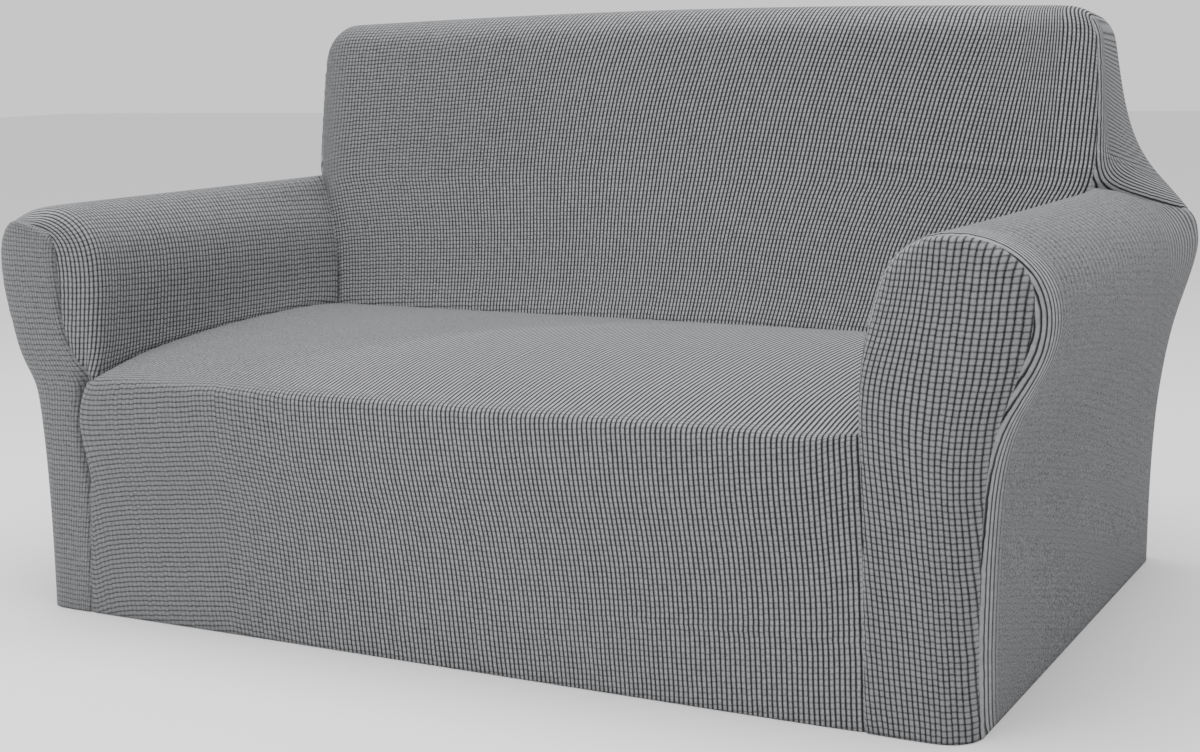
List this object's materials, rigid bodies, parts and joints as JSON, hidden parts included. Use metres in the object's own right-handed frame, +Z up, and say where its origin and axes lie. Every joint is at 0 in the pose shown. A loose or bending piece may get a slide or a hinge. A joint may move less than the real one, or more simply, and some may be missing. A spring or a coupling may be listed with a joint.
{
  "type": "sofa slipcover",
  "caption": "Fitted stretch slipcover in the shape it takes over a sofa with rolled arms: seat with apron, inside and outside back, arms and arm fronts, open underneath.",
  "frame": {"origin": "on the floor, under the middle of the cover's box", "axes": "+X along the seat, to the right arm as a person facing the sofa sees it; +Y from the seat's front to the back; +Z up"},
  "size_m": [1.7324, 1.046, 0.9512],
  "materials": {
    "cloth": "matt mid-grey stretch knit with a small raised waffle check"
  },
  "bodies": {
    "root": {"seat_front": "cloth", "inside_back": "cloth", "outside_back": "cloth", "arm_left": "cloth", "arm_right": "cloth", "arm_front_left": "cloth", "arm_front_right": "cloth"}
  },
  "joints": []
}
